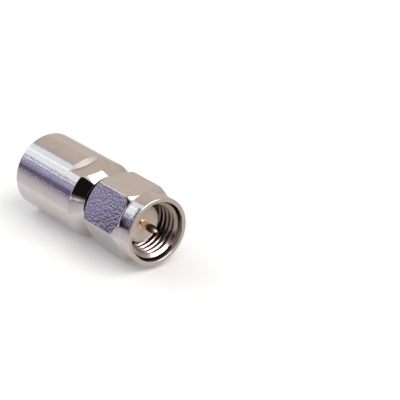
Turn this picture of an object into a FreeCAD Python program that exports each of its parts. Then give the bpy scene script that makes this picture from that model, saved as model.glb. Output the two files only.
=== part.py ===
"""Coaxial adaptor: a captive-nut plug at one end and an internally threaded plug at the other.

Frame: millimetres. The origin is the centre of the nut end's reference plane, where the ferrule
and its insulator end. +X runs along the axis and out of the nut's mouth, +Z is up. The adaptor
lies on its side, with two of the nut's flats level.
"""
import FreeCAD, Part
import math
import os

import Sketcher

doc = FreeCAD.newDocument("coaxial_adaptor")

# Driving dimensions, in millimetres and degrees. Diameters unless the name says otherwise.
SIZES = {
    # barrel
    "barrel_dia": 9.14,
    "barrel_wall": 0.975,
    "barrel_length": 10.65,
    "rim_edge_break": 0.08,
    "rim_chamfer": 0.555,
    "cavity_depth": 5.4,
    "cavity_relief_depth": 0.455,
    "cavity_relief_length": 0.55,
    "barrel_cone_step": 1.27,
    "nose_wall": 0.2,
    "flat_depth": 0.57,
    "flats_length": 2.16,
    "flats_turn": 9.8,
    # body of the nut end
    "neck_dia": 5.8,
    "ferrule_dia": 4.6,
    "ferrule_wall": 0.24,
    "ferrule_length": 1.95,
    "ferrule_edge_break": 0.08,
    # coupling nut
    "nut_gap": 0.73,
    "nut_lead": 2.65,
    "nut_wall": 1.1,
    "nut_hexagon_length": 6.6,
    "nut_rear_chamfer": 0.4,
    "collar_step": 0.02,
    "collar_length": 2.0,
    "collar_edge_break": 0.1,
    "jack_room": 0.6,
    "nut_mouth_depth": 0.6,
    "nut_mouth_step": 0.37,
    "nut_mouth_taper": 0.23,
    "nut_thread_lead": 0.2,
    "nut_thread_length": 3.5,
    "nut_relief_depth": 0.4,
    "nut_relief_length": 1.3,
    "nut_bore_chamfer": 0.15,
    # retaining ring
    "ring_thickness": 0.5,
    "ring_setback": 1.4,
    "ring_depth_in_neck": 0.4,
    "ring_depth_in_nut": 0.35,
    "ring_gap_angle": 24,
    # gasket
    "gasket_thickness": 0.5,
    "gasket_width": 0.4,
    # insulators
    "cup_insulator_step": 0.045,
    "cup_insulator_length": 4.0,
    # centre contact
    "core_dia": 1.27,
    "contact_collar_dia": 2.4,
    "contact_collar_length": 0.6,
    "contact_root_dia": 1.5,
    "nut_pin_dia": 0.92,
    "nut_pin_length": 2.5,
    "nut_pin_cone": 0.75,
    "nut_pin_tip_dia": 0.2,
    "barrel_pin_dia": 1.16,
    "barrel_pin_proud": 0.25,
    # clearances, on the radius or along the axis
    "turning_clearance": 0.05,
    "ring_clearance": 0.06,
    "seat_clearance": 0.01,
}

sheet = doc.addObject("Spreadsheet::Sheet", "sizes")
for row, (alias, value) in enumerate(SIZES.items(), start=1):
    sheet.set(f"A{row}", alias)
    sheet.set(f"B{row}", str(value))
    sheet.setAlias(f"B{row}", alias)
doc.recompute()


def size(alias):
    """The expression for one driving dimension."""
    return f"{sheet.Name}.{alias}"


def half(alias):
    """The expression for a radius, from a diameter."""
    return f"{sheet.Name}.{alias} / 2"


# Places along the axis, as expressions. They start from the reference plane at zero, where the
# nut stands out in front and the barrel follows behind it.
NUT_FRONT = size("nut_lead")
HEXAGON_FRONT = f"{NUT_FRONT} - {size('collar_length')}"
HEXAGON_REAR = f"{HEXAGON_FRONT} - {size('nut_hexagon_length')}"
RING_REAR = f"{HEXAGON_REAR} + {size('ring_setback')}"
RING_FRONT = f"{RING_REAR} + {size('ring_thickness')}"
FERRULE_ROOT = f"-{size('ferrule_length')}"
NOSE = f"{HEXAGON_REAR} - {size('nut_gap')}"
BEND = f"{NOSE} - {size('barrel_cone_step')}"
FLATS_TOP = f"{BEND} - {size('flats_length')}"
RIM = f"{BEND} - {size('barrel_length')}"
FLOOR = f"{RIM} + {size('cavity_depth')}"
CUP_BACK = f"{FLOOR} + {size('cup_insulator_length')}"

# Radii that follow from others
BARREL_OUTSIDE = half("barrel_dia")
BARREL_THREAD = f"{BARREL_OUTSIDE} - {size('barrel_wall')}"
NOSE_OUTSIDE = f"{BARREL_OUTSIDE} - {size('barrel_cone_step')}"
SOCKET = f"{NOSE_OUTSIDE} - {size('nose_wall')}"
CUP_OUTSIDE = f"{BARREL_THREAD} - {size('cup_insulator_step')}"
FERRULE_OUTSIDE = half("ferrule_dia")
CORE_BORE = f"{FERRULE_OUTSIDE} - {size('ferrule_wall')}"
NUT_THREAD = f"{FERRULE_OUTSIDE} + {size('jack_room')}"
NUT_FLAT = f"{NUT_THREAD} + {size('nut_wall')}"
COLLAR = f"{NUT_FLAT} - {size('collar_step')}"
NECK = half("neck_dia")
RING_INSIDE = f"{NECK} - {size('ring_depth_in_neck')}"
RING_OUTSIDE = f"{NECK} + {size('ring_depth_in_nut')}"


def plane_of(body, role):
    """One of the body's own origin planes."""
    return next(feature for feature in body.Origin.OriginFeatures if feature.Role == role)


def new_body(name):
    body = doc.addObject("PartDesign::Body", name)
    body.Label = name
    return body


def outline(body, name, points, role="XY_Plane", arcs=()):
    """A closed outline whose corners are pairs of expressions.

    arcs lists the sides, by the number of their first corner, that are arcs about a centre on
    the axis.
    """
    sketch = body.newObject("Sketcher::SketchObject", name)
    sketch.AttachmentSupport = [(plane_of(body, role), "")]
    sketch.MapMode = "FlatFace"
    places = [(number_of(x), number_of(y)) for x, y in points]
    count = len(points)
    for side in range(count):
        start = FreeCAD.Vector(*places[side], 0)
        end = FreeCAD.Vector(*places[(side + 1) % count], 0)
        if side in arcs:
            sketch.addGeometry(quarter_arc(start, end), False)
        else:
            sketch.addGeometry(Part.LineSegment(start, end), False)
    ends = [arc_ends(side in arcs, places[side], places[(side + 1) % count]) for side in range(count)]
    for side in range(count):
        following = (side + 1) % count
        sketch.addConstraint(
            Sketcher.Constraint("Coincident", side, ends[side][1], following, ends[following][0])
        )
        if side in arcs:
            sketch.addConstraint(Sketcher.Constraint("PointOnObject", side, 3, -1))
    for corner, (x, y) in enumerate(points):
        fix_place(sketch, "DistanceX", corner, ends[corner][0], x, places[corner][0])
        fix_place(sketch, "DistanceY", corner, ends[corner][0], y, places[corner][1])
    return sketch


def number_of(expression):
    """The value of an expression over the sheet's sizes."""
    return float(sheet.evalExpression(expression.replace(f"{sheet.Name}.", "")))


def quarter_arc(start, end):
    """The arc between two corners, about the point of the axis that is equally far from both."""
    centre_x = (end.x**2 + end.y**2 - start.x**2 - start.y**2) / (2 * (end.x - start.x))
    centre = FreeCAD.Vector(centre_x, 0, 0)
    circle = Part.Circle(centre, FreeCAD.Vector(0, 0, 1), (start - centre).Length)
    angles = [math.atan2(point.y, point.x - centre_x) for point in (start, end)]
    return Part.ArcOfCircle(circle, min(angles), max(angles))


def arc_ends(is_arc, start, end):
    """The numbers of a side's first and last points. An arc that runs clockwise has them swapped."""
    clockwise = is_arc and end[0] > start[0]
    return (2, 1) if clockwise else (1, 2)


def fix_place(sketch, kind, side, point, expression, value):
    if expression == "0":
        axis = -1 if kind == "DistanceY" else -2
        sketch.addConstraint(Sketcher.Constraint("PointOnObject", side, point, axis))
        return
    index = sketch.addConstraint(Sketcher.Constraint(kind, -1, 1, side, point, value))
    sketch.setExpression(f"Constraints[{index}]", expression)


def turned(body, name, points, kind="Revolution", arcs=()):
    """A profile turned about the axis, added to the body or cut out of it."""
    sketch = outline(body, f"{name}_profile", points, arcs=arcs)
    feature = body.newObject(f"PartDesign::{kind}", name)
    feature.Profile = sketch
    feature.ReferenceAxis = (sketch, ["H_Axis"])
    feature.Angle = 360
    sketch.Visibility = False
    return feature


# Barrel: a turned tube with an internally threaded mouth, a cone at its other end and two
# wrench flats whose run-out is a turned cone. The thread's wall is at its minor diameter.
barrel = new_body("barrel")
turned(barrel, "barrel_front", [
    (FLATS_TOP, "0"),
    (FLATS_TOP, BARREL_OUTSIDE),
    (BEND, BARREL_OUTSIDE),
    (NOSE, NOSE_OUTSIDE),
    (NOSE, "0"),
])
FLAT = f"{BARREL_OUTSIDE} - {size('flat_depth')}"
flats = outline(barrel, "flats_profile", [
    (f"-{size('barrel_dia')}", FLAT),
    (size("barrel_dia"), FLAT),
    (size("barrel_dia"), size("barrel_dia")),
    (f"-{size('barrel_dia')}", size("barrel_dia")),
], role="YZ_Plane")
cut_flat = barrel.newObject("PartDesign::Pocket", "wrench_flat")
cut_flat.Profile = flats
cut_flat.Type = "ThroughAll"
cut_flat.Midplane = True
flats.Visibility = False
both_flats = barrel.newObject("PartDesign::PolarPattern", "wrench_flats")
both_flats.Originals = [cut_flat]
both_flats.Axis = (barrel.Origin.OriginFeatures[0], [""])
both_flats.Angle = 360
both_flats.Occurrences = 2
barrel.Tip = both_flats
RUN_OUT = f"{FLATS_TOP} + {size('barrel_cone_step')}"
turned(barrel, "barrel_tube", [
    (RIM, "0"),
    (RIM, f"{BARREL_OUTSIDE} - {size('rim_edge_break')}"),
    (f"{RIM} + {size('rim_edge_break')}", BARREL_OUTSIDE),
    (FLATS_TOP, BARREL_OUTSIDE),
    (RUN_OUT, NOSE_OUTSIDE),
    (RUN_OUT, "0"),
])
MOUTH_END = f"{RIM} + {size('rim_chamfer')}"
RELIEF = f"{BARREL_THREAD} + {size('cavity_relief_depth')}"
RELIEF_START = f"{FLOOR} - {size('cavity_relief_length')}"
CUP_SEAT = f"{CUP_OUTSIDE} + {size('seat_clearance')}"
turned(barrel, "barrel_bore", [
    (RIM, "0"),
    (RIM, f"{BARREL_THREAD} + {size('rim_chamfer')}"),
    (MOUTH_END, BARREL_THREAD),
    (RELIEF_START, BARREL_THREAD),
    (RELIEF_START, RELIEF),
    (FLOOR, RELIEF),
    (FLOOR, CUP_SEAT),
    (CUP_BACK, CUP_SEAT),
    (CUP_BACK, SOCKET),
    (NOSE, SOCKET),
    (NOSE, "0"),
], kind="Groove")
barrel.Placement.Rotation.Axis = FreeCAD.Vector(1, 0, 0)
barrel.setExpression("Placement.Rotation.Angle", f"{size('flats_turn')} * 1 deg")

# Body of the nut end: a tail seated in the barrel's nose, a neck with the groove of the
# retaining ring, and the thin ferrule that meets the other connector
plug_body = new_body("plug_body")
RING_GROOVE = f"{RING_INSIDE} - {size('ring_clearance')}"
turned(plug_body, "plug_body_outside", [
    (CUP_BACK, "0"),
    (CUP_BACK, f"{SOCKET} - {size('seat_clearance')}"),
    (NOSE, f"{SOCKET} - {size('seat_clearance')}"),
    (NOSE, NECK),
    (f"{RING_REAR} - {size('ring_clearance')}", NECK),
    (f"{RING_REAR} - {size('ring_clearance')}", RING_GROOVE),
    (f"{RING_FRONT} + {size('ring_clearance')}", RING_GROOVE),
    (f"{RING_FRONT} + {size('ring_clearance')}", NECK),
    (FERRULE_ROOT, NECK),
    (FERRULE_ROOT, FERRULE_OUTSIDE),
    (f"-{size('ferrule_edge_break')}", FERRULE_OUTSIDE),
    ("0", f"{FERRULE_OUTSIDE} - {size('ferrule_edge_break')}"),
    ("0", "0"),
])
turned(plug_body, "plug_body_bore", [
    (CUP_BACK, "0"),
    (CUP_BACK, CORE_BORE),
    ("0", CORE_BORE),
    ("0", "0"),
], kind="Groove")

# Coupling nut: a hexagon chamfered at both ends with a plain collar in front. Its mouth opens
# with a slight taper and a lead into the thread. Behind the thread it has a relief, and in its
# plain bore the groove of the retaining ring.
coupling_nut = new_body("coupling_nut")
HALF_CORNER = f"({NUT_FLAT}) / sqrt(3)"
CORNER = f"2 * {HALF_CORNER}"
hexagon = outline(coupling_nut, "hexagon_profile", [
    (CORNER, "0"),
    (HALF_CORNER, NUT_FLAT),
    (f"-{HALF_CORNER}", NUT_FLAT),
    (f"-{CORNER}", "0"),
    (f"-{HALF_CORNER}", f"-({NUT_FLAT})"),
    (HALF_CORNER, f"-({NUT_FLAT})"),
], role="YZ_Plane")
hexagon.setExpression("AttachmentOffset.Base.z", HEXAGON_REAR)
hexagon_block = coupling_nut.newObject("PartDesign::Pad", "hexagon_block")
hexagon_block.Profile = hexagon
hexagon_block.setExpression("Length", size("nut_hexagon_length"))
hexagon.Visibility = False
BEYOND = f"2 * ({NUT_FLAT})"
REAR_FACE = f"{NUT_FLAT} - {size('nut_rear_chamfer')}"
turned(coupling_nut, "rear_chamfer", [
    (HEXAGON_REAR, REAR_FACE),
    (f"{HEXAGON_REAR} + {BEYOND} - ({REAR_FACE})", BEYOND),
    (HEXAGON_REAR, BEYOND),
], kind="Groove")
turned(coupling_nut, "front_chamfer", [
    (HEXAGON_FRONT, COLLAR),
    (HEXAGON_FRONT, BEYOND),
    (f"{HEXAGON_FRONT} - {BEYOND} + {COLLAR}", BEYOND),
], kind="Groove")
turned(coupling_nut, "collar", [
    (HEXAGON_FRONT, "0"),
    (HEXAGON_FRONT, COLLAR),
    (f"{NUT_FRONT} - {size('collar_edge_break')}", COLLAR),
    (NUT_FRONT, f"{COLLAR} - {size('collar_edge_break')}"),
    (NUT_FRONT, "0"),
])
MOUTH_FLOOR = f"{NUT_FRONT} - {size('nut_mouth_depth')}"
MOUTH = f"{NUT_THREAD} + {size('nut_mouth_step')}"
THREAD_FRONT = f"{MOUTH_FLOOR} - {size('nut_thread_lead')}"
THREAD_REAR = f"{THREAD_FRONT} - {size('nut_thread_length')}"
NUT_RELIEF_REAR = f"{THREAD_REAR} - {size('nut_relief_length')}"
NUT_RELIEF = f"{NUT_THREAD} + {size('nut_relief_depth')}"
NUT_BORE = f"{NECK} + {size('turning_clearance')}"
NUT_GROOVE = f"{RING_OUTSIDE} + {size('ring_clearance')}"
turned(coupling_nut, "nut_bore", [
    (HEXAGON_REAR, "0"),
    (HEXAGON_REAR, f"{NUT_BORE} + {size('nut_bore_chamfer')}"),
    (f"{HEXAGON_REAR} + {size('nut_bore_chamfer')}", NUT_BORE),
    (f"{RING_REAR} - {size('ring_clearance')}", NUT_BORE),
    (f"{RING_REAR} - {size('ring_clearance')}", NUT_GROOVE),
    (f"{RING_FRONT} + {size('ring_clearance')}", NUT_GROOVE),
    (f"{RING_FRONT} + {size('ring_clearance')}", NUT_BORE),
    (NUT_RELIEF_REAR, NUT_BORE),
    (NUT_RELIEF_REAR, NUT_RELIEF),
    (THREAD_REAR, NUT_RELIEF),
    (THREAD_REAR, NUT_THREAD),
    (THREAD_FRONT, NUT_THREAD),
    (MOUTH_FLOOR, MOUTH),
    (NUT_FRONT, f"{MOUTH} + {size('nut_mouth_taper')}"),
    (NUT_FRONT, "0"),
], kind="Groove")

# Retaining ring: a flat split ring that sits half in the neck's groove and half in the nut's
retaining_ring = new_body("retaining_ring")
ring = turned(retaining_ring, "ring", [
    (RING_REAR, RING_INSIDE),
    (RING_REAR, RING_OUTSIDE),
    (RING_FRONT, RING_OUTSIDE),
    (RING_FRONT, RING_INSIDE),
])
ring.setExpression("Angle", f"(360 - {size('ring_gap_angle')}) * 1 deg")

# Gasket: a soft washer round the ferrule's root
gasket = new_body("gasket")
GASKET_FRONT = f"{FERRULE_ROOT} + {size('gasket_thickness')}"
GASKET_INSIDE = f"{FERRULE_OUTSIDE} + {size('seat_clearance')}"
GASKET_OUTSIDE = f"{FERRULE_OUTSIDE} + {size('gasket_width')}"
turned(gasket, "gasket_washer", [
    (FERRULE_ROOT, GASKET_INSIDE),
    (FERRULE_ROOT, GASKET_OUTSIDE),
    (GASKET_FRONT, GASKET_OUTSIDE),
    (GASKET_FRONT, GASKET_INSIDE),
])

# Core insulator: the rod round the contact's core, flush with the ferrule's end
core_insulator = new_body("core_insulator")
CORE_OUTSIDE = f"{CORE_BORE} - {size('seat_clearance')}"
turned(core_insulator, "core_insulator_rod", [
    (CUP_BACK, f"{half('core_dia')} + {size('seat_clearance')}"),
    (CUP_BACK, CORE_OUTSIDE),
    ("0", CORE_OUTSIDE),
    ("0", f"{half('core_dia')} + {size('seat_clearance')}"),
])

# Cup insulator: the disc that closes the barrel's cavity, recessed for the contact's collar
cup_insulator = new_body("cup_insulator")
COLLAR_REAR = f"{CUP_BACK} - {size('contact_collar_length')}"
turned(cup_insulator, "cup_insulator_disc", [
    (FLOOR, f"{half('contact_root_dia')} + {size('seat_clearance')}"),
    (FLOOR, CUP_OUTSIDE),
    (CUP_BACK, CUP_OUTSIDE),
    (CUP_BACK, f"{half('contact_collar_dia')} + {size('seat_clearance')}"),
    (COLLAR_REAR, f"{half('contact_collar_dia')} + {size('seat_clearance')}"),
    (COLLAR_REAR, f"{half('contact_root_dia')} + {size('seat_clearance')}"),
])

# Centre contact: one turned pin with a trapped collar, a cone point at the nut end and a
# round nose that stands a little proud of the barrel's rim
centre_contact = new_body("centre_contact")
NOSE_CENTRE = f"{RIM} - {size('barrel_pin_proud')}"
turned(centre_contact, "contact_pin", [
    (f"{NOSE_CENTRE} - {half('barrel_pin_dia')}", "0"),
    (NOSE_CENTRE, half("barrel_pin_dia")),
    (FLOOR, half("barrel_pin_dia")),
    (FLOOR, half("contact_root_dia")),
    (COLLAR_REAR, half("contact_root_dia")),
    (COLLAR_REAR, half("contact_collar_dia")),
    (CUP_BACK, half("contact_collar_dia")),
    (CUP_BACK, half("core_dia")),
    ("0", half("core_dia")),
    ("0", half("nut_pin_dia")),
    (f"{size('nut_pin_length')} - {size('nut_pin_cone')}", half("nut_pin_dia")),
    (size("nut_pin_length"), half("nut_pin_tip_dia")),
    (size("nut_pin_length"), "0"),
], arcs=(0,))

doc.recompute()

# Every feature has to be sound before anything is written
pieces = [entry for entry in doc.Objects if entry.TypeId == "PartDesign::Body"]
for entry in doc.Objects:
    if "Invalid" in entry.State or "Error" in entry.State:
        raise RuntimeError(f"{entry.Label} failed: {entry.State}")
for piece in pieces:
    if piece.Shape.isNull() or not piece.Shape.isValid() or len(piece.Shape.Solids) != 1:
        raise RuntimeError(f"{piece.Label} is not one sound solid")

os.makedirs("parts", exist_ok=True)
for piece in pieces:
    piece.Shape.exportStep(f"parts/{piece.Label}.step")
    box = piece.Shape.BoundBox
    print(f"{piece.Label}: {piece.Shape.Volume:.3f} mm3, x {box.XMin:.3f} to {box.XMax:.3f}")
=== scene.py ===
"""Looks of the coaxial adaptor: nickel-plated turned brass with a gold-plated pin right through.

The sections follow the adaptor as it is put together. Pieces are modelled in millimetres, with
the axis along X, and brought to metres when they are finished.
"""
import math

import bpy
from mathutils import Matrix, Vector


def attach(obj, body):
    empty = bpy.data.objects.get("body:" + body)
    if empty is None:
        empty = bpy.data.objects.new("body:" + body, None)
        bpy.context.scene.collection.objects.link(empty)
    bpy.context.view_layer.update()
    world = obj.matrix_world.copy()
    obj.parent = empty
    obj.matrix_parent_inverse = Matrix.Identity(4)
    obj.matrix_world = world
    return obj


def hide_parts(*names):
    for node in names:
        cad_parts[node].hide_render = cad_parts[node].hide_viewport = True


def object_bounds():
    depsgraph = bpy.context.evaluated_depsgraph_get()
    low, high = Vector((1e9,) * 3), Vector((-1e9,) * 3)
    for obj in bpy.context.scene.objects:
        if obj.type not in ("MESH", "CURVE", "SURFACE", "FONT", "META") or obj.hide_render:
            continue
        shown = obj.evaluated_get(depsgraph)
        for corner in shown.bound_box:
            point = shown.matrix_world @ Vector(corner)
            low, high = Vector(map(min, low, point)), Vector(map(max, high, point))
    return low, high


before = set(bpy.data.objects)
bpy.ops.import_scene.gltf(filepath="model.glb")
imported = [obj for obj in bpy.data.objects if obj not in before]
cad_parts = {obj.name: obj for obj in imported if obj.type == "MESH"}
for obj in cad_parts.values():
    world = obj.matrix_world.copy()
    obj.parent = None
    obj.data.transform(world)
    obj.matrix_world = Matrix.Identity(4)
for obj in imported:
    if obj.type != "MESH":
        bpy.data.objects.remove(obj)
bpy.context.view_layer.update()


# Plug body. The turned body of the nut end: a tail pressed into the barrel's nose, the neck that
# the nut turns on, and the thin ferrule that meets the other connector. Brass, turned in one
# piece and bored through for the insulator, then nickel-plated.

mm_per_metre = 1000
seam = 0.0005           # mm: the points where a turned or swept shape closes are nearer than this
near_points = 0.0003    # mm: a cut can leave points this near to each other


def turn(name, profile, segments=192):
    """A profile of (place along the axis, radius) corners, turned as on a lathe.

    A profile whose last corner is its first gives a bored piece. Any other is capped at its ends.
    """
    bpy.ops.object.select_all(action="DESELECT")
    x, radius = profile[0]
    bpy.ops.mesh.primitive_circle_add(
        vertices=segments, radius=radius, location=(x, 0, 0), rotation=(0, math.pi / 2, 0))
    piece = bpy.context.object
    piece.name = name
    piece.data.name = name
    bpy.ops.object.transform_apply(location=True, rotation=True, scale=True)
    bpy.ops.object.mode_set(mode="EDIT")
    bpy.ops.mesh.select_all(action="SELECT")
    bored = profile[0] == profile[-1]
    if not bored:
        bpy.ops.mesh.edge_face_add()
    for next_x, next_radius in profile[1:]:
        bpy.ops.mesh.extrude_region_move(
            MESH_OT_extrude_region={"use_dissolve_ortho_edges": False},
            TRANSFORM_OT_translate={"value": (next_x - x, 0, 0)})
        growth = next_radius / radius
        bpy.ops.transform.resize(value=(1, growth, growth), center_override=(next_x, 0, 0))
        x, radius = next_x, next_radius
    bpy.ops.mesh.select_all(action="SELECT")
    bpy.ops.mesh.remove_doubles(threshold=seam)
    bpy.ops.mesh.normals_make_consistent(inside=False)
    bpy.ops.object.mode_set(mode="OBJECT")
    return piece


def apply_all(piece):
    """Applies a piece's modifiers in their order."""
    bpy.context.view_layer.objects.active = piece
    for modifier in list(piece.modifiers):
        bpy.ops.object.modifier_apply(modifier=modifier.name)


def work_with(piece, tool, operation):
    """Cuts a tool out of a piece, or keeps only what lies in both. The tool is used up."""
    change = piece.modifiers.new(tool.name, "BOOLEAN")
    change.operation = operation
    change.solver = "EXACT"
    change.object = tool
    apply_all(piece)
    bpy.data.objects.remove(tool, do_unlink=True)


def break_edges(piece, width, steps=2, from_angle=25, held_back=True):
    """Rounds every edge sharper than an angle, as tumbling and plating do.

    Held back, no rounding grows into the next one.
    """
    rounding = piece.modifiers.new("rounding", "BEVEL")
    rounding.width = width
    rounding.segments = steps
    rounding.limit_method = "ANGLE"
    rounding.angle_limit = math.radians(from_angle)
    rounding.use_clamp_overlap = held_back
    apply_all(piece)


def finish_piece(piece, material, body, node, smooth_angle=34):
    """Merges points left by cuts, brings a piece to metres, shades it, and ties it to its body
    and CAD node."""
    bpy.ops.object.select_all(action="DESELECT")
    piece.select_set(True)
    bpy.context.view_layer.objects.active = piece
    bpy.ops.object.mode_set(mode="EDIT")
    bpy.ops.mesh.select_all(action="SELECT")
    bpy.ops.mesh.remove_doubles(threshold=near_points)
    bpy.ops.object.mode_set(mode="OBJECT")
    piece.scale = (1 / mm_per_metre,) * 3
    bpy.ops.object.transform_apply(location=True, rotation=True, scale=True)
    bpy.ops.object.shade_smooth_by_angle(angle=math.radians(smooth_angle))
    evening = piece.modifiers.new("even_normals", "WEIGHTED_NORMAL")
    evening.mode = "FACE_AREA"
    evening.keep_sharp = True
    apply_all(piece)
    piece.data.materials.clear()
    piece.data.materials.append(material)
    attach(piece, body)
    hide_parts(node)


def new_material(name):
    """A material, its node tree and shader, and the place on the piece in millimetres."""
    material = bpy.data.materials.new(name)
    material.use_nodes = True
    tree = material.node_tree
    tree.nodes.clear()
    shader = tree.nodes.new("ShaderNodeBsdfPrincipled")
    output = tree.nodes.new("ShaderNodeOutputMaterial")
    tree.links.new(shader.outputs["BSDF"], output.inputs["Surface"])
    place = tree.nodes.new("ShaderNodeTexCoord")
    in_mm = tree.nodes.new("ShaderNodeMapping")
    in_mm.inputs["Scale"].default_value = (mm_per_metre,) * 3
    tree.links.new(place.outputs["Object"], in_mm.inputs["Vector"])
    return material, tree, shader, in_mm.outputs["Vector"]


def grain(tree, where, per_mm, detail=2.0):
    """Irregular noise, with about this many spots to the millimetre."""
    noise = tree.nodes.new("ShaderNodeTexNoise")
    noise.inputs["Scale"].default_value = per_mm
    noise.inputs["Detail"].default_value = detail
    noise.inputs["Roughness"].default_value = 0.5
    tree.links.new(where, noise.inputs["Vector"])
    return noise.outputs["Fac"]


def ranged(tree, value, low, high, from_low=0.3, from_high=0.7):
    """Spreads a value over another range and holds it at both ends."""
    spread = tree.nodes.new("ShaderNodeMapRange")
    spread.inputs["From Min"].default_value = from_low
    spread.inputs["From Max"].default_value = from_high
    spread.inputs["To Min"].default_value = low
    spread.inputs["To Max"].default_value = high
    tree.links.new(value, spread.inputs["Value"])
    return spread.outputs["Result"]


def blended(tree, value, first, second):
    """Goes from one colour to another as the value goes from 0 to 1."""
    mix = tree.nodes.new("ShaderNodeMix")
    mix.data_type = "RGBA"
    mix.inputs["A"].default_value = (*first, 1)
    mix.inputs["B"].default_value = (*second, 1)
    tree.links.new(value, mix.inputs["Factor"])
    return mix.outputs["Result"]


def relief(tree, height, depth_mm, before=None):
    """Unevenness too fine to model, on top of any that comes before it."""
    bump = tree.nodes.new("ShaderNodeBump")
    bump.inputs["Strength"].default_value = 1.0
    bump.inputs["Distance"].default_value = depth_mm / mm_per_metre
    tree.links.new(height, bump.inputs["Height"])
    if before is not None:
        tree.links.new(before, bump.inputs["Normal"])
    return bump.outputs["Normal"]


def cloud_colour(tree, shader, where, per_mm, first, second, detail=2.0):
    """Drifts the shader's colour between two shades."""
    cloudy = ranged(tree, grain(tree, where, per_mm, detail), 0, 1)
    tree.links.new(blended(tree, cloudy, first, second), shader.inputs["Base Color"])


def cloud_roughness(tree, shader, where, per_mm, smoothest, roughest, detail=2.0):
    """Drifts the shader's roughness between two values."""
    tree.links.new(
        ranged(tree, grain(tree, where, per_mm, detail), smoothest, roughest),
        shader.inputs["Roughness"])


def rings(tree, where, per_mm):
    """Fine tool marks round the axis, from the feed of a lathe."""
    wave = tree.nodes.new("ShaderNodeTexWave")
    wave.wave_type = "BANDS"
    wave.bands_direction = "X"
    wave.inputs["Scale"].default_value = per_mm
    wave.inputs["Distortion"].default_value = 1.2
    wave.inputs["Detail"].default_value = 2.0
    wave.inputs["Detail Scale"].default_value = 0.4
    tree.links.new(where, wave.inputs["Vector"])
    return wave.outputs["Fac"]


def nickel_plate(name, smoothest, roughest, peel_per_mm, peel_depth):
    """Nickel over brass. Its fine orange peel shows where it mirrors something uneven."""
    material, tree, shader, where = new_material(name)
    cloud_colour(
        tree, shader, where, 0.45, (0.555, 0.505, 0.492), (0.600, 0.550, 0.540), detail=3.0)
    shader.inputs["Metallic"].default_value = 1.0
    cloud_roughness(tree, shader, where, 3.0, smoothest, roughest, detail=3.0)
    peel = relief(tree, grain(tree, where, peel_per_mm, 1.0), peel_depth)
    tree.links.new(relief(tree, rings(tree, where, 3.5), 0.0004, peel), shader.inputs["Normal"])
    return material


nickel = nickel_plate("nickel_plate", 0.02, 0.05, peel_per_mm=4.5, peel_depth=0.007)

tail_end = -9.2         # here the body, both insulators and the contact's collar meet
nose_end = -6.68        # the barrel's nose covers the tail up to here
groove_rear, groove_front = -4.61, -3.99        # where the retaining ring sits
ferrule_root = -1.95
tail, neck, groove, ferrule, body_bore = 3.09, 2.9, 2.44, 2.3, 2.06     # radii
plug_body = turn("plug_body_turned", [
    (tail_end, body_bore), (tail_end, tail), (nose_end, tail), (nose_end, neck),
    (groove_rear, neck), (groove_rear, groove), (groove_front, groove), (groove_front, neck),
    (ferrule_root, neck), (ferrule_root, ferrule), (-0.08, ferrule), (0.0, 2.22), (0.0, 2.09),
    (-0.03, body_bore), (tail_end, body_bore)])
break_edges(plug_body, 0.02)
finish_piece(plug_body, nickel, "adaptor", "plug_body")


# Retaining ring. A flat split ring of spring bronze. It is sprung into the neck's groove and
# opens into the nut's, so it holds the nut and lets it turn.

bronze, tree, shader, where = new_material("spring_bronze")
cloud_colour(tree, shader, where, 1.2, (0.50, 0.30, 0.15), (0.62, 0.42, 0.25))
shader.inputs["Metallic"].default_value = 1.0
cloud_roughness(tree, shader, where, 4.0, 0.28, 0.42)
tree.links.new(relief(tree, grain(tree, where, 9.0), 0.003), shader.inputs["Normal"])
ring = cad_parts["retaining_ring"]
ring.data.materials.clear()
ring.data.materials.append(bronze)


# Coupling nut. Milled from 8 mm hexagon bar, chamfered at both ends, with a round collar in
# front and a quarter-inch 36-thread inside. Brass, nickel-plated. It turns freely on the neck.

def thread_cutter(name, crest, root, pitch, first, last, steps=96):
    """The path of a threading tool: a 60 degree form swept right-handed along the axis."""
    clear = 0.12        # how far the form reaches past the wall into the bore
    form_height = root - crest + clear
    middle = (crest - clear + root) / 2
    half_root = pitch / 16      # the root's flat is an eighth of the pitch
    half_crest = half_root + form_height * math.tan(math.radians(60 / 2))
    bpy.ops.object.select_all(action="DESELECT")
    bpy.ops.mesh.primitive_plane_add(
        size=1, location=(first, 0, middle), rotation=(math.pi / 2, 0, 0))
    tool = bpy.context.object
    tool.name = name
    tool.scale = (2 * half_crest, form_height, 1)
    bpy.ops.object.transform_apply(location=True, rotation=True, scale=True)
    for corner in tool.data.vertices:
        corner.select = corner.co.z > middle
    for side in tool.data.edges:
        side.select = all(tool.data.vertices[v].select for v in side.vertices)
    tool.data.polygons[0].select = False
    bpy.ops.object.mode_set(mode="EDIT")
    bpy.ops.transform.resize(
        value=(half_root / half_crest, 1, 1), center_override=(first, 0, root))
    bpy.ops.object.mode_set(mode="OBJECT")
    sweep = tool.modifiers.new("sweep", "SCREW")
    sweep.axis = "X"
    sweep.angle = 2 * math.pi
    sweep.screw_offset = pitch
    sweep.iterations = math.ceil((last - first) / pitch)
    sweep.steps = steps
    sweep.render_steps = steps
    apply_all(tool)
    bpy.ops.object.mode_set(mode="EDIT")
    bpy.ops.mesh.select_all(action="SELECT")
    bpy.ops.mesh.remove_doubles(threshold=seam)
    bpy.ops.mesh.fill_holes(sides=0)
    bpy.ops.mesh.select_all(action="SELECT")
    bpy.ops.mesh.normals_make_consistent(inside=False)
    bpy.ops.object.mode_set(mode="OBJECT")
    return tool


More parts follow.
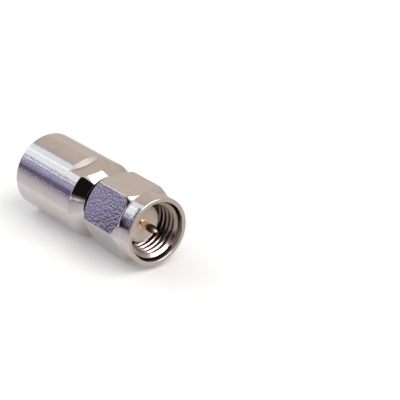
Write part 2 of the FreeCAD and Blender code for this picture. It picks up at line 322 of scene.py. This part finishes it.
nut_rear = -5.95
nut_front = 2.65
nut_flat = 4.0          # from the axis to a flat
bar_middle, bar_length = -2, 12
past_corners = 4.9      # more than the hexagon's corners reach
relief_rear, relief_front = -2.95, -1.65        # the threading tool runs out here
collar, bearing, ring_room, relieved, nut_minor = 3.98, 2.95, 3.31, 3.3, 2.9
coupling_nut = turn("coupling_nut_milled", [
    (nut_rear, 3.6), (-4.65, past_corners), (-0.27, past_corners), (0.65, collar),
    (nut_front, collar)])
bpy.ops.object.select_all(action="DESELECT")
bpy.ops.mesh.primitive_cylinder_add(
    vertices=6, radius=nut_flat / math.cos(math.pi / 6), depth=bar_length,
    location=(bar_middle, 0, 0), rotation=(0, math.pi / 2, 0))
hexagon = bpy.context.object
bpy.ops.object.transform_apply(location=True, rotation=True, scale=True)
break_edges(hexagon, 0.13, steps=5, from_angle=20, held_back=False)
work_with(coupling_nut, hexagon, "INTERSECT")
break_edges(coupling_nut, 0.10, steps=3, from_angle=20, held_back=False)
nut_bore = turn("nut_bore", [
    (-6.95, 4.1), (-5.8, bearing), (groove_rear, bearing), (groove_rear, ring_room),
    (groove_front, ring_room), (groove_front, bearing), (relief_rear, bearing),
    (relief_rear, relieved), (relief_front, relieved), (relief_front, nut_minor),
    (1.85, nut_minor), (2.05, 3.27), (2.60, 3.48), (2.635, 3.51), (2.66, 3.56), (2.9, 3.9)])
work_with(coupling_nut, nut_bore, "DIFFERENCE")
nut_thread = thread_cutter(
    "nut_thread", crest=nut_minor, root=3.28, pitch=0.7056, first=-2.55, last=3.6)
work_with(coupling_nut, nut_thread, "DIFFERENCE")
finish_piece(coupling_nut, nickel, "nut", "coupling_nut")

# Nickel inside the nut's bore. The thin plating there is dull, and its colour is painted shade:
# darker deeper into the bore, with a darkest band on the taper wall just inside the lip.
thread_nickel_painted_shade, tree, shader, where = new_material("nickel_in_thread_painted_shade")
into_mouth = tree.nodes.new("ShaderNodeSeparateXYZ")
tree.links.new(where, into_mouth.inputs["Vector"])
painted_shade_along_bore = tree.nodes.new("ShaderNodeValToRGB")
colours_from, colours_to = -6.0, 10.0       # mm along the axis
# Painted shade: these stops darken the bore towards its depth and on the taper wall inside the
# lip.
for at, colour in (
        (0.25, (0.16, 0.12, 0.13)), (0.43, (0.25, 0.20, 0.20)), (0.50, (0.38, 0.32, 0.30)),
        (0.515, (0.13, 0.10, 0.10)), (0.56, (0.20, 0.155, 0.155))):
    stop = painted_shade_along_bore.color_ramp.elements.new(at)
    stop.color = (*colour, 1)
tree.links.new(
    ranged(tree, into_mouth.outputs["X"], 0, 1, colours_from, colours_to),
    painted_shade_along_bore.inputs["Fac"])
tree.links.new(painted_shade_along_bore.outputs["Color"], shader.inputs["Base Color"])
shader.inputs["Metallic"].default_value = 1.0
cloud_roughness(tree, shader, where, 5.0, 0.14, 0.24, detail=3.0)
tree.links.new(relief(tree, grain(tree, where, 9.0, 3.0), 0.004), shader.inputs["Normal"])


def refinish(piece, material, chosen):
    """Gives some faces a finish of their own, chosen by along, radius in mm and lean to +X."""
    piece.data.materials.append(material)
    for face in piece.data.polygons:
        place = face.center * mm_per_metre
        if chosen(place.x, math.hypot(place.y, place.z), face.normal.x):
            face.material_index = len(piece.data.materials) - 1


# Inside the mouth the plating is thin and dull, and the bore takes the painted shade that
# darkens it deeper in. The flats keep the unevenness of the drawn bar.
mouth_radius, lip = 3.49, 2.62
refinish(coupling_nut, thread_nickel_painted_shade, lambda along, radius, lean: radius < mouth_radius and along < lip)
refinish(
    coupling_nut,
    nickel_plate("nickel_on_bar", 0.03, 0.07, peel_per_mm=3.9, peel_depth=0.047),
    lambda along, radius, lean: abs(lean) < 0.02 and radius > nut_flat - 0.01 and along < 0.6)


# Gasket. A black silicone washer pushed over the ferrule to its root. It seals against the end
# of the other connector's thread.

rubber, tree, shader, where = new_material("gasket_rubber")
cloud_colour(tree, shader, where, 3.0, (0.016, 0.016, 0.018), (0.035, 0.034, 0.034))
cloud_roughness(tree, shader, where, 6.0, 0.42, 0.6)
tree.links.new(relief(tree, grain(tree, where, 12.0), 0.008), shader.inputs["Normal"])

gasket_front, gasket_outside, gasket_bore = -1.45, 2.7, 2.31
gasket = turn("gasket_moulded", [
    (ferrule_root, gasket_bore), (ferrule_root, gasket_outside), (gasket_front, gasket_outside),
    (gasket_front, gasket_bore), (ferrule_root, gasket_bore)], segments=128)
break_edges(gasket, 0.12, steps=4)
finish_piece(gasket, rubber, "adaptor", "gasket", smooth_angle=50)


# Core insulator. A rod of white fluoropolymer turned to fit the body and bored for the contact.
# Its end is faced off flush with the ferrule.

polymer, tree, shader, where = new_material("insulator")
cloud_colour(tree, shader, where, 1.1, (0.74, 0.60, 0.52), (0.80, 0.67, 0.59), detail=3.0)
cloud_roughness(tree, shader, where, 5.0, 0.36, 0.5)
shader.inputs["IOR"].default_value = 1.35
shader.inputs["Subsurface Weight"].default_value = 0.15
shader.inputs["Subsurface Scale"].default_value = 0.0006
shader.inputs["Subsurface Radius"].default_value = (1.0, 0.8, 0.6)
facing = tree.nodes.new("ShaderNodeTexWave")
facing.wave_type = "RINGS"
facing.rings_direction = "X"
facing.inputs["Scale"].default_value = 2.6
facing.inputs["Distortion"].default_value = 0.6
tree.links.new(where, facing.inputs["Vector"])
faced = relief(tree, facing.outputs["Fac"], 0.004)
tree.links.new(relief(tree, grain(tree, where, 10.0), 0.003, faced), shader.inputs["Normal"])

core_outside, core_bore = 2.05, 0.645
core_insulator = turn("core_insulator_turned", [
    (tail_end, core_bore), (tail_end, core_outside), (-0.06, core_outside), (0.0, 1.99),
    (0.0, 0.705), (-0.06, core_bore), (tail_end, core_bore)])
finish_piece(core_insulator, polymer, "adaptor", "core_insulator")


# Centre contact. One brass pin right through the adaptor: a cone point at the nut end, a collar
# trapped between the insulators, and a round nose at the barrel end. Turned and gold-plated.

gold, tree, shader, where = new_material("gold_plate")
cloud_colour(tree, shader, where, 1.5, (0.80, 0.60, 0.42), (0.90, 0.71, 0.52), detail=3.0)
shader.inputs["Metallic"].default_value = 1.0
cloud_roughness(tree, shader, where, 5.0, 0.15, 0.24)
plated = relief(tree, grain(tree, where, 8.0, 3.0), 0.004)
tree.links.new(relief(tree, rings(tree, where, 5.0), 0.0006, plated), shader.inputs["Normal"])

nose_centre = -18.85    # middle of the round nose
cavity_floor = -13.2
collar_rear = -9.8
nose_radius, in_cup, contact_collar, in_core, pin = 0.58, 0.75, 1.2, 0.635, 0.46
ball = [
    (nose_centre - nose_radius * math.sin(a), nose_radius * math.cos(a))
    for a in map(math.radians, range(88, 0, -8))]
centre_contact = turn("centre_contact_turned", ball + [
    (nose_centre, nose_radius), (cavity_floor, nose_radius), (cavity_floor, in_cup),
    (collar_rear, in_cup), (collar_rear, contact_collar), (tail_end, contact_collar),
    (tail_end, in_core), (0.0, in_core), (0.0, pin), (1.75, pin), (2.42, 0.14), (2.48, 0.09),
    (2.5, 0.03)], segments=96)
finish_piece(centre_contact, gold, "adaptor", "centre_contact")


# Cup insulator. A fluoropolymer disc that carries the pin in the barrel's cavity and is its
# floor. It is held between the barrel's step and the plug body.

cup_outside, cup_bore, cup_seat = 3.55, 0.76, 1.21
cup_insulator = turn("cup_insulator_turned", [
    (cavity_floor, cup_bore), (cavity_floor, 3.47), (-13.12, cup_outside),
    (tail_end, cup_outside), (tail_end, cup_seat), (collar_rear, cup_seat),
    (collar_rear, cup_bore), (cavity_floor, cup_bore)])
finish_piece(cup_insulator, polymer, "adaptor", "cup_insulator")


# Barrel. Turned from brass bar and nickel-plated: a tube with an M8 by 0.75 thread in its mouth,
# a cone at the other end, and two wrench flats that run out in a turned cone. It is pressed on
# the plug body's tail and closes the adaptor.

rim = -18.6
thread_end = -13.75
bend = -7.95            # the cone starts here
barrel_outside = 4.569
barrel_minor, barrel_major = 3.595, 4.0
undercut, cup_fit, nose_bore = 4.05, 3.56, 3.1
barrel_flat = 4.0       # from the axis to a flat
flats_turn = math.radians(9.8)
mill_at = -9.5
mill_length, mill_width, mill_height = 7, 12, 2
barrel = turn("barrel_turned", [
    (rim, 4.49), (rim + 0.08, barrel_outside), (bend, barrel_outside), (nose_end, 3.3)])
bpy.ops.object.select_all(action="DESELECT")
bpy.ops.mesh.primitive_cube_add(size=1, location=(mill_at, 0, barrel_flat + mill_height / 2))
mill = bpy.context.object
mill.scale = (mill_length, mill_width, mill_height)
bpy.ops.object.transform_apply(location=True, rotation=True, scale=True)
run_out = turn("run_out", [(-14.0, 8.46), (-5.64, 0.1)], segments=256)
work_with(mill, run_out, "DIFFERENCE")
bpy.ops.object.select_all(action="DESELECT")
mill.select_set(True)
bpy.context.view_layer.objects.active = mill
bpy.ops.object.duplicate()
opposite_mill = bpy.context.object
for cutter, turn_by in ((mill, flats_turn), (opposite_mill, flats_turn + math.pi)):
    cutter.rotation_euler.x = turn_by
    work_with(barrel, cutter, "DIFFERENCE")
break_edges(barrel, 0.06, steps=3, from_angle=20, held_back=False)
barrel_bore = turn("barrel_bore", [
    (-19.6, 5.15), (-18.045, barrel_minor), (thread_end, barrel_minor), (thread_end, undercut),
    (cavity_floor, undercut), (cavity_floor, cup_fit), (tail_end, cup_fit),
    (tail_end, nose_bore), (-6.0, nose_bore)])
work_with(barrel, barrel_bore, "DIFFERENCE")
barrel_thread = thread_cutter(
    "barrel_thread", crest=barrel_minor, root=barrel_major, pitch=0.75, first=-19.6, last=-13.6)
work_with(barrel, barrel_thread, "DIFFERENCE")
finish_piece(barrel, nickel, "adaptor", "barrel")

# The turned run-out behind each flat is duller than the rest.
refinish(
    barrel, nickel_plate("nickel_on_run_out", 0.46, 0.54, peel_per_mm=6.0, peel_depth=0.004),
    lambda along, radius, lean: -10.2 < along < -9.5 and radius > 3.95 and 0.6 < lean < 0.8)


# Studio. A pale floor that the adaptor lies on, a white surround and two soft lamps. Curved
# screens round it give the metal what it reflected in the photograph. The camera stands where the
# photograph's did.

def seen_as_background(tree):
    """1 for the camera's own rays, reflections and what shows through, and 0 for other light."""
    light_path = tree.nodes.new("ShaderNodeLightPath")
    seen = light_path.outputs["Is Camera Ray"]
    for ray in ("Is Glossy Ray", "Is Transmission Ray"):
        either = tree.nodes.new("ShaderNodeMath")
        either.operation = "MAXIMUM"
        tree.links.new(seen, either.inputs[0])
        tree.links.new(light_path.outputs[ray], either.inputs[1])
        seen = either.outputs[0]
    return seen


floor_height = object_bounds()[0].z
floor_colour = (0.75, 0.74, 0.74, 1)
floor_glow = 0.14
fill_light = 0.7        # strength of the white surround for all but the background's rays
bpy.ops.object.select_all(action="DESELECT")
bpy.ops.mesh.primitive_plane_add(size=3, location=(0, 0, floor_height))
floor = bpy.context.object
floor.name = "floor"
floor_paint = bpy.data.materials.new("floor_paint")
floor_paint.use_nodes = True
tree = floor_paint.node_tree
tree.nodes.clear()
paint = tree.nodes.new("ShaderNodeBsdfDiffuse")
paint.inputs["Color"].default_value = floor_colour
glow = tree.nodes.new("ShaderNodeEmission")
glow_strength = tree.nodes.new("ShaderNodeMath")
glow_strength.operation = "MULTIPLY"
glow_strength.inputs[1].default_value = floor_glow
tree.links.new(seen_as_background(tree), glow_strength.inputs[0])
tree.links.new(glow_strength.outputs[0], glow.inputs["Strength"])
both = tree.nodes.new("ShaderNodeAddShader")
tree.links.new(paint.outputs[0], both.inputs[0])
tree.links.new(glow.outputs[0], both.inputs[1])
surface = tree.nodes.new("ShaderNodeOutputMaterial")
tree.links.new(both.outputs[0], surface.inputs["Surface"])
floor.data.materials.append(floor_paint)

world = bpy.data.worlds.new("surround")
bpy.context.scene.world = world
world.use_nodes = True
tree = world.node_tree
sky = tree.nodes["Background"]
sky.inputs["Color"].default_value = (1, 1, 1, 1)
tree.links.new(
    ranged(tree, seen_as_background(tree), fill_light, 1.0, 0.0, 1.0), sky.inputs["Strength"])


def towards(azimuth, elevation):
    """A direction: azimuth 0 is along the nut's axis, 90 is to +Y. Elevation is above level."""
    a, e = math.radians(azimuth), math.radians(elevation)
    return Vector((math.cos(a) * math.cos(e), math.sin(a) * math.cos(e), math.sin(e)))


def around(along, turn):
    """A direction by its turn about the adaptor's axis, from +Y, and its lean along the axis."""
    t = math.radians(turn)
    return Vector((along, math.cos(t), math.sin(t)))


view_way = Vector((-0.70, 0.58, -0.41)).normalized()


def bounced(lean, turn):
    """Where the camera's view goes from a surface that leans to +X and has this turn."""
    lean, turn = math.radians(lean), math.radians(turn)
    normal = Vector((
        math.sin(lean), math.cos(lean) * math.cos(turn), math.cos(lean) * math.sin(turn)))
    return view_way.reflect(normal)


lamp_distance = 0.6


def soft_lamp(name, azimuth, elevation, wide, high, colour, radiance):
    """A lamp panel of this size in metres, for dull surfaces and shadows alone."""
    lamp = bpy.data.lights.new(name, "AREA")
    lamp.shape = "RECTANGLE"
    lamp.size = wide
    lamp.size_y = high
    lamp.color = colour
    lamp.energy = radiance * math.pi * wide * high
    box = bpy.data.objects.new(name, lamp)
    bpy.context.scene.collection.objects.link(box)
    way = towards(azimuth, elevation)
    box.location = way * lamp_distance
    box.rotation_euler = way.to_track_quat("Z", "Y").to_euler()
    box.visible_glossy = False


def screen(name, place, away, strength, bands, mottle=0):
    """A curved screen with bands of colour across it, which only glossy surfaces reflect.

    place gives a point for each u and v from 0 to 1, and away the metres to each unit of it. The
    bands run along v. mottle is the number of light and dark spots to the metre.
    """
    bpy.ops.object.select_all(action="DESELECT")
    bpy.ops.mesh.primitive_grid_add(x_subdivisions=24, y_subdivisions=24, size=1)
    sheet = bpy.context.object
    sheet.name = name
    for corner in sheet.data.vertices:
        corner.co = place(corner.co.x + 0.5, corner.co.y + 0.5) * away
    paint = bpy.data.materials.new(name)
    paint.use_nodes = True
    tree = paint.node_tree
    tree.nodes.clear()
    where = tree.nodes.new("ShaderNodeTexCoord")
    split = tree.nodes.new("ShaderNodeSeparateXYZ")
    tree.links.new(where.outputs["UV"], split.inputs["Vector"])
    ramp = tree.nodes.new("ShaderNodeValToRGB")
    while len(ramp.color_ramp.elements) < len(bands):
        ramp.color_ramp.elements.new(0.5)
    for stop, (at, colour) in zip(ramp.color_ramp.elements, bands):
        stop.position = at
        stop.color = (*colour, 1)
    tree.links.new(split.outputs["Y"], ramp.inputs["Fac"])
    glow = tree.nodes.new("ShaderNodeEmission")
    glow.inputs["Strength"].default_value = strength
    if mottle:
        spots = grain(tree, where.outputs["Object"], mottle, 2.0)
        tree.links.new(
            ranged(tree, spots, 0.0, 2 * strength, 0.38, 0.62), glow.inputs["Strength"])
    tree.links.new(ramp.outputs["Color"], glow.inputs["Color"])
    output = tree.nodes.new("ShaderNodeOutputMaterial")
    tree.links.new(glow.outputs[0], output.inputs["Surface"])
    sheet.data.materials.append(paint)
    sheet.visible_camera = False
    sheet.visible_diffuse = False
    sheet.visible_shadow = False


soft_lamp("cool_lamp", -158, 40, wide=0.7, high=0.16, colour=(0.90, 0.97, 1.0), radiance=3.0)
soft_lamp("warm_lamp", 15, 57, wide=0.64, high=0.34, colour=(1.0, 0.98, 0.94), radiance=3.4)

# Large screens, which the barrel and the nut's round parts mirror as bands along the axis.
screen(
    "warm_wall", lambda u, v: around(-3.5 + u * (4.6 - 0.9 * v), -7 + 102.2 * v), 0.7, 1.0,
    [(0.0, (0.67, 0.59, 0.52)), (0.10, (0.67, 0.59, 0.52)), (0.25, (0.79, 0.71, 0.62)),
     (0.42, (0.85, 0.77, 0.69)), (0.58, (0.80, 0.72, 0.64)), (0.81, (0.79, 0.71, 0.63)),
     (0.90, (0.74, 0.67, 0.63)), (1.0, (0.70, 0.66, 0.66))])
screen(
    "cool_screen", lambda u, v: around(-3.5 + u * 3.7, 134.5 - 39.3 * v), 0.7, 1.7, [
        (0.0, (0.78, 0.87, 0.91)), (0.40, (0.74, 0.83, 0.87)), (0.46, (1.0, 1.1, 1.15)),
        (0.50, (1.0, 1.1, 1.15)), (0.56, (0.72, 0.81, 0.85)), (1.0, (0.68, 0.76, 0.79))])
screen(
    "dim_screen", lambda u, v: around(-3.5 + u * 3.3, 184.2 - 50 * v), 0.6, 1.3, [
        (0.0, (0.12, 0.10, 0.14)), (0.10, (0.11, 0.09, 0.14)), (0.28, (0.12, 0.10, 0.18)),
        (0.42, (0.24, 0.23, 0.38)), (0.57, (0.34, 0.35, 0.52)), (0.73, (0.47, 0.49, 0.67)),
        (0.89, (0.64, 0.68, 0.82)), (1.0, (0.98, 1.0, 1.0))], mottle=24)
screen(
    "warm_screen", lambda u, v: towards(-14 + 64 * u, 40 + 36 * v), 0.5, 3.2,
    [(0.0, (1.0, 0.97, 0.90)), (0.40, (1.0, 0.97, 0.90)), (1.0, (0.30, 0.29, 0.27))])

# Screens for single surfaces: the mouth and its thread, the nut's front chamfer, the barrel's
# cone and side, and what faces the floor. Those placed in millimetres stand close, so that other
# surfaces and views mirror little of them.
mm = 1 / mm_per_metre
floor_mm = mm_per_metre * floor_height
low_sheet = floor_mm + 0.04
high_sheet = floor_mm + 0.05
screen(
    "warm_card_at_mouth",
    lambda u, v: Vector((1.5, 0, -2.5)) + 24 * towards(-3 + 38 * u, 17 + 17 * v), mm, 9.0,
    [(0.0, (1.0, 1.02, 0.92)), (1.0, (1.0, 1.02, 0.94))])
screen(
    "dark_screen", lambda u, v: bounced(38 + 14 * u, 162 - 38 * v), 0.5, 1.0,
    [(0.0, (0.48, 0.43, 0.44)), (0.12, (0.31, 0.28, 0.33)), (0.42, (0.25, 0.23, 0.28)),
     (0.58, (0.05, 0.04, 0.035)), (1.0, (0.04, 0.03, 0.025))])
screen(
    "dark_card_ahead",
    lambda u, v: 10 * bounced(34 + 20 * u, 160 - 36 * v) + 4 * around(-1.85, 160 - 36 * v),
    mm, 1.0,
    [(0.0, (0.35, 0.30, 0.29)), (0.08, (0.06, 0.05, 0.05)), (0.15, (0.012, 0.010, 0.010)),
     (1.0, (0.012, 0.010, 0.010))])
screen(
    "warm_floor_sheet",
    lambda u, v: Vector((2.8 + 21.2 * u, -3 + 24 * v, high_sheet)), mm, 1.0,
    [(0.0, (0.83, 0.74, 0.66)), (1.0, (0.80, 0.71, 0.63))])
# Painted shade: the floor's fall-off of light on the -Y side, as a sheet that grows darker away
# from the adaptor and that only the metal mirrors.
screen(
    "floor_falloff_painted_shade",
    lambda u, v: Vector((-250 + 400 * u, -9 - 290 * v * v, low_sheet)), mm, 1.0, [
        (0.0, (0.95, 0.95, 0.97)), (0.155, (0.78, 0.77, 0.81)), (0.227, (0.68, 0.67, 0.72)),
        (0.362, (0.51, 0.50, 0.57)), (0.56, (0.36, 0.34, 0.40)), (1.0, (0.25, 0.23, 0.30))])
screen(
    "warm_floor_beyond",
    lambda u, v: Vector((-300 + 302 * u, 9 + 290 * v * v, low_sheet)), mm, 1.0,
    [(0.0, (0.80, 0.73, 0.68)), (1.0, (0.70, 0.62, 0.55))])
screen(
    "dark_floor_sheet", lambda u, v: Vector((24 + 136 * u, -40 + 100 * v, high_sheet)), mm, 1.0,
    [(0.0, (0.06, 0.045, 0.05)), (1.0, (0.06, 0.045, 0.05))])
screen(
    "dark_card", lambda u, v: Vector((-17.7 + 7.7 * u, -20, -0.5 + 12.5 * v)), mm, 1.0, [
        (0.0, (0.02, 0.015, 0.02)), (0.48, (0.03, 0.02, 0.03)), (0.8, (0.21, 0.19, 0.31)),
        (1.0, (0.33, 0.32, 0.48))])
screen(
    "dark_card_at_mouth",
    lambda u, v: Vector((1.5, 0, -1)) + 24 * towards(-50 + 59 * u, -8 + 23 * v), mm, 1.0,
    [(0.0, (0.012, 0.008, 0.008)), (1.0, (0.014, 0.010, 0.010))])

# The camera's place, axes and lens come from the fit to the photograph's outlines.
camera_place = (0.129394, -0.098604, 0.077196)
bpy.ops.object.camera_add()
camera = bpy.context.object
right = Vector((0.6274, 0.7784, 0.0242)).normalized()
back = Vector((0.7021, -0.5788, 0.4148)).normalized()
up = back.cross(right).normalized()
right = up.cross(back)
camera.matrix_world = Matrix.Translation(camera_place) @ Matrix(
    (right, up, back)).transposed().to_4x4()
camera.data.lens = 146.33
camera.data.sensor_width = 36
camera.data.clip_start = 0.005
camera.data.clip_end = 10
bpy.context.scene.camera = camera

bpy.context.scene.view_settings.view_transform = "Standard"
